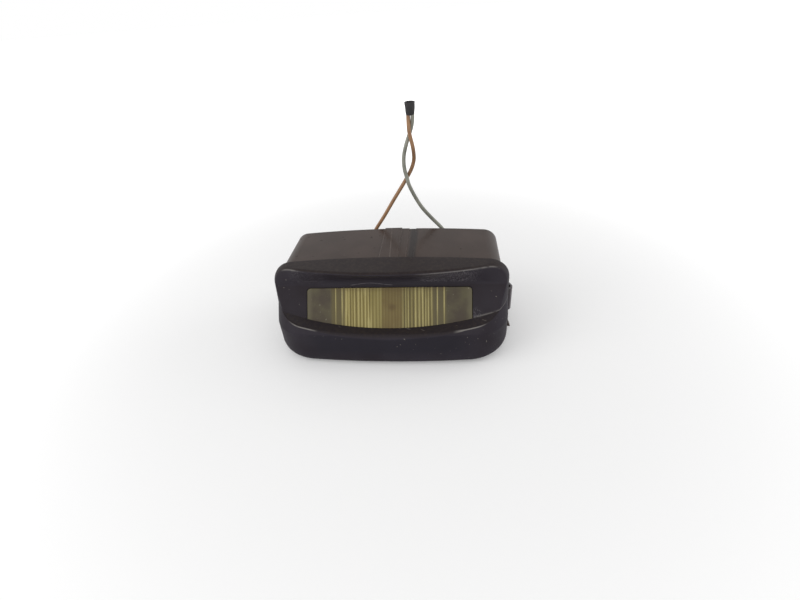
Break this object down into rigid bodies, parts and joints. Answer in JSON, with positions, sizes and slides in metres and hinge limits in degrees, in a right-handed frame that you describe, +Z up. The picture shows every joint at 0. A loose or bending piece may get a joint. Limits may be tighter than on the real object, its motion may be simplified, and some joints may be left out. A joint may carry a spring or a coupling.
{
  "type": "number plate lamp",
  "caption": "Snap-in number plate lamp: black hooded cover with a leaning ribbed lens, box housing, festoon bulb, side springs and a short twisted wire pigtail.",
  "frame": {"origin": "on the surface the lamp lies on, below the middle of its length and halfway between the chin and the back of the terminal lid", "axes": "+X along the lamp to the right of its front, +Y from the hooded front to the back, +Z up from the long side it lies on"},
  "size_m": [0.0948, 0.0526, 0.0836],
  "materials": {
    "cover_black": "fine-grained satin black moulding, lightly scuffed",
    "lens_yellowed": "clear moulding gone yellow, fluted behind, frosted ends, brown in the middle",
    "foam": "closed-cell foam",
    "housing_plastic": "smooth dark brown-grey moulding with a soft gloss",
    "tin_plate": "tinned sheet and caps",
    "bulb_glass": "clear glass tube",
    "filament_wire": "bare drawn wire",
    "contact_bronze": "rolled spring bronze",
    "seal_rubber": "soft black rubber",
    "spring_black": "black phosphated strip",
    "wire_brown": "brown wire insulation",
    "wire_grey": "grey-green wire insulation"
  },
  "bodies": {
    "root": {"cover": "cover_black", "lens": "lens_yellowed", "lens_seal": "foam", "housing": "housing_plastic", "terminal_lid": "housing_plastic", "reflector": "tin_plate", "bulb_glass": "bulb_glass", "bulb_cap_left": "tin_plate", "bulb_cap_right": "tin_plate", "bulb_filament": "filament_wire", "contact_left": "contact_bronze", "contact_right": "contact_bronze", "contact_rivets": "tin_plate", "terminal_left": "tin_plate", "terminal_right": "tin_plate", "grommet_left": "seal_rubber", "grommet_right": "seal_rubber", "side_spring_left": "spring_black", "side_spring_right": "spring_black", "wire_brown": "wire_brown", "wire_grey": "wire_grey", "end_sleeve": "seal_rubber"}
  },
  "joints": []
}
